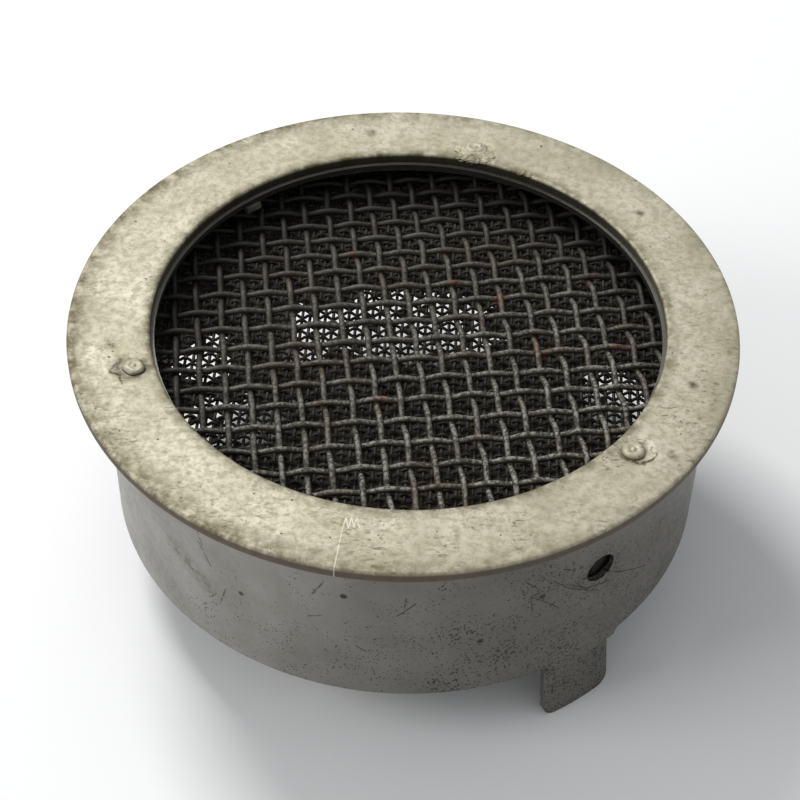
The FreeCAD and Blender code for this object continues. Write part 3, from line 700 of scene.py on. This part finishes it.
def weave(name, along_x, weft, warp, wire, swing, mid_height, reach, knot_play, bevel_steps,
          spline_steps, seed):
    """One set of wires of a woven screen, as a curve of one spline per wire.

    weft and warp are (turn in radians, lines): the weft runs along X and the warp along Y.
    """
    (weft_turn, weft_lines), (warp_turn, warp_lines) = weft, warp
    dice = random.Random(seed)
    spread = math.cos(weft_turn - warp_turn)
    knots = {}
    for i, a in enumerate(weft_lines):
        for j, b in enumerate(warp_lines):
            x = (b * math.cos(weft_turn) - a * math.sin(warp_turn)) / spread
            y = (b * math.sin(weft_turn) + a * math.cos(warp_turn)) / spread
            knots[i, j] = (x + dice.uniform(-knot_play, knot_play), y + dice.uniform(-knot_play, knot_play))
    data = bpy.data.curves.new(name, "CURVE")
    data.dimensions = "3D"
    # With a bevel depth of 1, a point's radius is the wire's real one, and so is the curve's box.
    data.bevel_depth = 1.0
    data.bevel_resolution = bevel_steps
    data.resolution_u = spline_steps
    data.use_fill_caps = True
    turn = weft_turn if along_x else warp_turn + math.pi / 2
    run = (math.cos(turn), math.sin(turn))
    side = (-run[1], run[0]) if along_x else (run[1], -run[0])
    for i, own in enumerate(weft_lines if along_x else warp_lines):
        half = math.sqrt(max(reach ** 2 - own ** 2, 0.01))
        points = [(side[0] * own - run[0] * half, side[1] * own - run[1] * half, 0.0, 1.0)]
        for j in range(len(warp_lines if along_x else weft_lines)):
            x, y = knots[(i, j) if along_x else (j, i)]
            if abs(x * run[0] + y * run[1]) > half - 0.3 * abs(weft_lines[1] - weft_lines[0]):
                continue
            # An order 3 spline keeps half of a zigzag's height, so the points go twice as high.
            rise = 2 * swing * (1 if (i + j) % 2 == int(along_x) else -1)
            points.append((x, y, rise, dice.uniform(0.95, 1.06)))
        points[1:] = sorted(points[1:], key=lambda point: point[0] * run[0] + point[1] * run[1])
        points.append((side[0] * own + run[0] * half, side[1] * own + run[1] * half, 0.0, 1.0))
        spline = data.splines.new("NURBS")
        spline.points.add(len(points) - 1)
        for point, (x, y, rise, thickness) in zip(spline.points, points):
            point.co = (x * MM, y * MM, mid_height + rise * MM, 1)
            point.radius = wire / 2 * thickness * MM
        spline.order_u = 3
        spline.use_endpoint_u = True
    wires = bpy.data.objects.new(name, data)
    bpy.context.scene.collection.objects.link(wires)
    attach(wires, "root")
    print(name, len(data.splines), "wires")
    return wires


# The wires have crept: the pitch drifts across the weft, and each wire is a little off.
SCREEN_REACH = 28.6
COARSE_WIRE = 0.6
dice = random.Random(11)
coarse_weft = (math.radians(6.1), wire_lines(0.9, 2.69, -0.021, SCREEN_REACH, dice, 0.06))
coarse_warp = (math.radians(7.0), wire_lines(0.7, 2.36, 0.0, SCREEN_REACH, dice, 0.15))
FINE_WIRE, FINE_PITCH, FINE_TURN = 0.33, 0.78, math.radians(-2.5)
fine_count = int(SCREEN_REACH / FINE_PITCH)
fine_lines = [i * FINE_PITCH for i in range(-fine_count, fine_count + 1)]
coarse_low, coarse_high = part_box("coarse_screen_warp")
coarse_middle = (coarse_low.z + coarse_high.z) / 2
fine_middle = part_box("fine_screen_weft")[1].z - 0.42 * MM
screens = {}
for name, along_x, swing in (("coarse_screen_weft", True, 0.18), ("coarse_screen_warp", False, 0.43)):
    screens[name] = weave(name + "_woven", along_x, coarse_weft, coarse_warp, COARSE_WIRE, swing,
                          coarse_middle, SCREEN_REACH, 0.10, 2, 6, seed=11)
fine_set = (FINE_TURN, fine_lines)
for name, along_x, swing, smooth in (("fine_screen_weft", True, 0.22, 3),
                                     ("fine_screen_warp", False, 0.04, 1)):
    screens[name] = weave(name + "_woven", along_x, fine_set, fine_set, FINE_WIRE, swing,
                          fine_middle, SCREEN_REACH, 0.03, 1, smooth, seed=12)

# %% [markdown]
# ## Dusty, rusting wire
#
# The coarse wire is bright drawn steel that has gone dull. Dust lies on its upper side, so the
# upward face is paler, and rust has started in spots a few millimetres apart. The fine wire is
# the same steel under a coat of dark, greasy dust.

# %% Coarse wire
wire_steel, shader = new_material("dusty_steel_wire")
shader.inputs["Metallic"].default_value = 0.2
place = add(wire_steel, "TexCoord")
facing = add(wire_steel, "NewGeometry")
upright = add(wire_steel, "SeparateXYZ", links={"Vector": (facing, "Normal")})
tone = add(wire_steel, "TexNoise", {"Scale": size_of(2.4), "Detail": 5.0, "Roughness": 0.65},
           {"Vector": (place, "Object")})
tone_part = add(wire_steel, "MapRange", {"From Min": 0.35, "From Max": 0.65}, {"Value": (tone, "Fac")})
steel = add(wire_steel, "Mix",
            {"data_type": "RGBA", "A_Color": linear("#2C2920"), "B_Color": linear("#47443A")},
            {"Factor_Float": (tone_part, "Result")})

# Pale dust grains of 0.2 mm on the wires' upper faces, made stronger towards the front right as a painted
# highlight.
toward_front_right = add(wire_steel, "VectorMath", {"operation": "DOT_PRODUCT", 1: (0.45, -0.89, 0)},
              {0: (place, "Object")})
highlight_zone = add(wire_steel, "MapRange",
                   {"From Min": -0.010, "From Max": 0.020, "To Min": 0.25, "To Max": 1.0},
                   {"Value": (toward_front_right, "Value")})
dust_noise = add(wire_steel, "TexNoise", {"Scale": size_of(0.4), "Detail": 5.0, "Roughness": 0.75},
                 {"Vector": (place, "Object")})
dust_top = add(wire_steel, "MapRange", {"From Min": 0.2, "From Max": 0.95}, {"Value": (upright, "Z")})
dust_part = add(wire_steel, "MapRange", {"From Min": 0.46, "From Max": 0.55, "To Max": 1.0},
                {"Value": (dust_noise, "Fac")})
dust_and_highlight = add(wire_steel, "Math", {"operation": "MULTIPLY"}, {0: (dust_top, "Result"), 1: (dust_part, "Result")})
dust_and_highlight = add(wire_steel, "Math", {"operation": "MULTIPLY"}, {0: (dust_and_highlight, "Value"), 1: (highlight_zone, "Result")})
steel = add(wire_steel, "Mix", {"data_type": "RGBA", "B_Color": linear("#9A978C")},
            {"A_Color": (steel, "Result_Color"), "Factor_Float": (dust_and_highlight, "Value")})

# Rust: a thin brown bloom in zones of 6 mm, and a few small orange spots.
rust_noise = add(wire_steel, "TexNoise", {"Scale": size_of(6), "Detail": 4.0}, {"Vector": (place, "Object")})
rust_grain = add(wire_steel, "TexNoise", {"Scale": size_of(0.6), "Detail": 4.0},
                 {"Vector": (place, "Object")})
rust_zone = add(wire_steel, "MapRange", {"From Min": 0.50, "From Max": 0.62, "To Max": 0.55},
                {"Value": (rust_noise, "Fac")})
rust_part = add(wire_steel, "MapRange", {"From Min": 0.42, "From Max": 0.56}, {"Value": (rust_grain, "Fac")})
rust = add(wire_steel, "Math", {"operation": "MULTIPLY"},
           {0: (rust_zone, "Result"), 1: (rust_part, "Result")})
steel = add(wire_steel, "Mix", {"data_type": "RGBA", "B_Color": linear("#4F3926")},
            {"A_Color": (steel, "Result_Color"), "Factor_Float": (rust, "Value")})
level = add(wire_steel, "Mapping", {"Scale": (1, 1, 0)}, {"Vector": (place, "Object")})
orange = []
for x, y, half in ((18.0, 10.0, 0.9), (13.0, -0.4, 0.7), (20.9, 0.5, 0.8), (-2.1, -8.4, 0.9), (4.6, 9.4, 0.7),
                   (-6.2, 13.1, 0.6), (9.2, 6.7, 0.8)):
    gap = add(wire_steel, "VectorMath", {"operation": "DISTANCE", 1: (x * MM, y * MM, 0)},
              {0: (level, "Vector")})
    orange.append(add(wire_steel, "MapRange",
                      {"From Min": half * 1.5 * MM, "From Max": half * 0.5 * MM, "To Max": 0.8},
                      {"Value": (gap, "Value")}))
orange = strongest(wire_steel, orange)
orange = add(wire_steel, "Math", {"operation": "MULTIPLY"}, {0: (orange, 0), 1: (rust_part, "Result")})
steel = add(wire_steel, "Mix", {"data_type": "RGBA", "B_Color": linear("#7A4424")},
            {"A_Color": (steel, "Result_Color"), "Factor_Float": (orange, "Value")})

# Painted shadow of the ring: towards the back and left of the rim the wires darken to nearly black, over wire
# that soot has dulled.
from_unshaded_middle = add(wire_steel, "VectorMath", {"operation": "DISTANCE", 1: (0.002, -0.005, 0)},
                 {0: (level, "Vector")})
soot_and_shade = add(wire_steel, "MapRange", {"From Min": 0.0190, "From Max": 0.0268, "To Max": 0.93},
           {"Value": (from_unshaded_middle, "Value")})
steel = add(wire_steel, "Mix", {"data_type": "RGBA", "B_Color": linear("#1C1A15")},
            {"A_Color": (steel, "Result_Color"), "Factor_Float": (soot_and_shade, "Result")})
relief = add(wire_steel, "Bump", {"Strength": 0.8, "Distance": 0.08 * MM}, {"Height": (dust_noise, "Fac")})
shader.inputs["Roughness"].default_value = 0.62
wire_steel.node_tree.links.new(socket(steel.outputs, "Result_Color"), shader.inputs["Base Color"])
wire_steel.node_tree.links.new(relief.outputs["Normal"], shader.inputs["Normal"])
for name in ("coarse_screen_weft", "coarse_screen_warp"):
    screens[name].data.materials.append(wire_steel)
    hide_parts(name)
print("dusty_steel_wire on the coarse screen")

# %% Fine wire
grimy_wire, shader = new_material("grimy_fine_wire")
shader.inputs["Metallic"].default_value = 0.2
shader.inputs["Roughness"].default_value = 0.7
place = add(grimy_wire, "TexCoord")
tone = add(grimy_wire, "TexNoise", {"Scale": size_of(1.5), "Detail": 4.0}, {"Vector": (place, "Object")})
tone_part = add(grimy_wire, "MapRange", {"From Min": 0.38, "From Max": 0.62}, {"Value": (tone, "Fac")})
grimy = add(grimy_wire, "Mix",
            {"data_type": "RGBA", "A_Color": linear("#1F1C16"), "B_Color": linear("#3F3B32")},
            {"Factor_Float": (tone_part, "Result")})
relief = add(grimy_wire, "Bump", {"Strength": 0.6, "Distance": 0.06 * MM}, {"Height": (tone, "Fac")})
grimy_wire.node_tree.links.new(socket(grimy.outputs, "Result_Color"), shader.inputs["Base Color"])
grimy_wire.node_tree.links.new(relief.outputs["Normal"], shader.inputs["Normal"])
for name in ("fine_screen_weft", "fine_screen_warp"):
    screens[name].data.materials.append(grimy_wire)
    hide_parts(name)
print("grimy_fine_wire on the fine screen")

# %% [markdown]
# ## Lint in the fine screen
#
# Lint has filled most of the fine mesh. Where some has fallen out, the floor shows through as
# groups of small pale openings. The lint is a thin felt at the height of the wires: a grid with
# four faces to each mesh, with the faces of the open meshes removed, the rest roughened by noise
# and given a thickness.

# %% Lint sheet with its open patches
# Middle x and y, half width, half depth in millimetres, and the share of clear meshes.
OPEN_PATCHES = [(0, 4, 8, 5, 0.85), (-11, 3, 4, 4, 0.9), (-20, -1, 4, 3, 0.85), (-17, -10, 5, 3, 0.8),
                (20, -6, 3, 4, 0.9)]
dice = random.Random(21)
lint = bmesh.new()
half_mesh = FINE_PITCH * MM / 2
steps = 2 * (2 * fine_count + 1)
bmesh.ops.create_grid(lint, x_segments=steps, y_segments=steps, size=half_mesh * steps / 2)
bmesh.ops.rotate(lint, verts=lint.verts, cent=(0, 0, 0), matrix=Matrix.Rotation(FINE_TURN, 3, "Z"))
chance = {}
removed = []
for face in lint.faces:
    spot = face.calc_center_median()
    if spot.xy.length > (SCREEN_REACH - 1.0) * MM:
        removed.append(face)
        continue
    flat_spot = Matrix.Rotation(-FINE_TURN, 3, "Z") @ spot
    key = (math.floor(flat_spot.x / MM / FINE_PITCH), math.floor(flat_spot.y / MM / FINE_PITCH))
    if key not in chance:
        chance[key] = dice.random()
    openness = 0.01
    for x, y, half_x, half_y, part in OPEN_PATCHES:
        distance = math.hypot((spot.x / MM - x) / half_x, (spot.y / MM - y) / half_y)
        ragged = 1 + 0.35 * noise.noise(spot * size_of(1.8))
        if distance * ragged < 1.05:
            openness = max(openness, part)
    if chance[key] < openness:
        removed.append(face)
bmesh.ops.delete(lint, geom=removed, context="FACES")
for vert in lint.verts:
    vert.co += noise.noise_vector(vert.co * size_of(0.5)) * 0.04 * MM
    vert.co.z += fine_middle + 0.06 * MM * noise.noise(vert.co * size_of(1.4))
bmesh.ops.recalc_face_normals(lint, faces=lint.faces)
bmesh.ops.solidify(lint, geom=lint.faces, thickness=0.08 * MM)

lint_felt, shader = new_material("grey_brown_lint")
shader.inputs["Roughness"].default_value = 1.0
place = add(lint_felt, "TexCoord")
tone = add(lint_felt, "TexNoise", {"Scale": size_of(0.4), "Detail": 5.0, "Roughness": 0.7},
           {"Vector": (place, "Object")})
tone_part = add(lint_felt, "MapRange", {"From Min": 0.35, "From Max": 0.68}, {"Value": (tone, "Fac")})
felt = add(lint_felt, "Mix",
           {"data_type": "RGBA", "A_Color": linear("#12100D"), "B_Color": linear("#37302A")},
           {"Factor_Float": (tone_part, "Result")})
relief = add(lint_felt, "Bump", {"Strength": 1.0, "Distance": 0.1 * MM}, {"Height": (tone, "Fac")})
lint_felt.node_tree.links.new(socket(felt.outputs, "Result_Color"), shader.inputs["Base Color"])
lint_felt.node_tree.links.new(relief.outputs["Normal"], shader.inputs["Normal"])
finish_piece("lint_in_fine_screen", lint, lint_felt, [])

# %% Painted shade behind the front screw hole: a dark felt wad on the bore, standing in for the shade inside the sleeve
screw_turn = math.radians(SCREW_BEARING)
wad = bmesh.new()
bmesh.ops.create_icosphere(wad, subdivisions=4, radius=1.0)
for vert in wad.verts:
    bump = 1 + 0.22 * noise.noise(vert.co * 1.6) + 0.10 * noise.noise(vert.co * 5)
    # Flat against the bore, 5 mm wide and a little taller.
    vert.co = Vector((vert.co.x * 0.7, vert.co.y * 2.7, vert.co.z * 2.9)) * bump * MM
bmesh.ops.rotate(wad, verts=wad.verts, cent=(0, 0, 0), matrix=Matrix.Rotation(screw_turn, 3, "Z"))
bmesh.ops.translate(wad, verts=wad.verts,
                    vec=(math.cos(screw_turn) * 28.3 * MM, math.sin(screw_turn) * 28.3 * MM, 10.9 * MM))
finish_piece("shade_wad_behind_screw_hole", wad, lint_felt, [])

# %% [markdown]
# ## Rings and rim
#
# The stop ring and the retaining ring are spring wire and strip, and the screens' rim is folded
# sheet. All three sit in the shade and wear the same dust, so one dark, dull steel serves them.

# %% Dusty spring steel
dusty_steel, shader = new_material("dusty_spring_steel")
shader.inputs["Metallic"].default_value = 0.4
place = add(dusty_steel, "TexCoord")
tone = add(dusty_steel, "TexNoise", {"Scale": size_of(1.8), "Detail": 5.0, "Roughness": 0.65},
           {"Vector": (place, "Object")})
tone_part = add(dusty_steel, "MapRange", {"From Min": 0.36, "From Max": 0.64}, {"Value": (tone, "Fac")})
dark = add(dusty_steel, "Mix",
           {"data_type": "RGBA", "A_Color": linear("#3B3933"), "B_Color": linear("#77756B")},
           {"Factor_Float": (tone_part, "Result")})
rough = add(dusty_steel, "MapRange", {"To Min": 0.45, "To Max": 0.7}, {"Value": (tone, "Fac")})
relief = add(dusty_steel, "Bump", {"Strength": 0.4, "Distance": 0.06 * MM}, {"Height": (tone, "Fac")})
dusty_steel.node_tree.links.new(socket(dark.outputs, "Result_Color"), shader.inputs["Base Color"])
dusty_steel.node_tree.links.new(rough.outputs["Result"], shader.inputs["Roughness"])
dusty_steel.node_tree.links.new(relief.outputs["Normal"], shader.inputs["Normal"])
for name in ("stop_ring", "screen_rim", "retaining_ring"):
    nodes[name].data.materials.clear()
    nodes[name].data.materials.append(dusty_steel)
print("dusty_spring_steel on three nodes")

# %% [markdown]
# ## Hairs on the wall
#
# A few short hairs are stuck to the wall under the ring, as on any part that has sat in a hair
# dryer. Each is a thin NURBS line that follows the wall.

# %% Hairs
hair_dice = random.Random(33)
hair_lines = []
for number in range(6):
    degrees, height = hair_dice.uniform(18, 34), hair_dice.uniform(10, 15)
    line = [(degrees, height)]
    for step in range(hair_dice.randint(1, 5)):
        degrees += hair_dice.uniform(0.5, 5)
        height = max(6.5, height - hair_dice.uniform(0.2, 2.0))
        line.append((degrees, height))
    hair_lines.append(line)
hair_data = bpy.data.curves.new("hairs_on_wall", "CURVE")
hair_data.dimensions = "3D"
hair_data.bevel_depth = 0.028 * MM
hair_data.bevel_resolution = 1
hair_data.use_fill_caps = True
for line in hair_lines:
    spline = hair_data.splines.new("NURBS")
    spline.points.add(len(line) - 1)
    for point, (degrees, height) in zip(spline.points, line):
        turn_angle = math.radians(degrees)
        radius = WALL_RADIUS + 0.04 * MM
        point.co = (radius * math.sin(turn_angle), -radius * math.cos(turn_angle), height * MM, 1)
    spline.order_u = 3 if len(line) > 2 else 2
    spline.use_endpoint_u = True
hairs = bpy.data.objects.new("hairs_on_wall", hair_data)
bpy.context.scene.collection.objects.link(hairs)
dark_hair, shader = new_material("dark_hair")
shader.inputs["Roughness"].default_value = 0.5
place = add(dark_hair, "TexCoord")
tone = add(dark_hair, "TexNoise", {"Scale": size_of(1.0)}, {"Vector": (place, "Object")})
hair_colour = add(dark_hair, "Mix",
                  {"data_type": "RGBA", "A_Color": linear("#2B241D"), "B_Color": linear("#55493D")},
                  {"Factor_Float": (tone, "Fac")})
dark_hair.node_tree.links.new(socket(hair_colour.outputs, "Result_Color"), shader.inputs["Base Color"])
hair_data.materials.append(dark_hair)
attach(hairs, "root")
print("hairs", len(hair_lines))
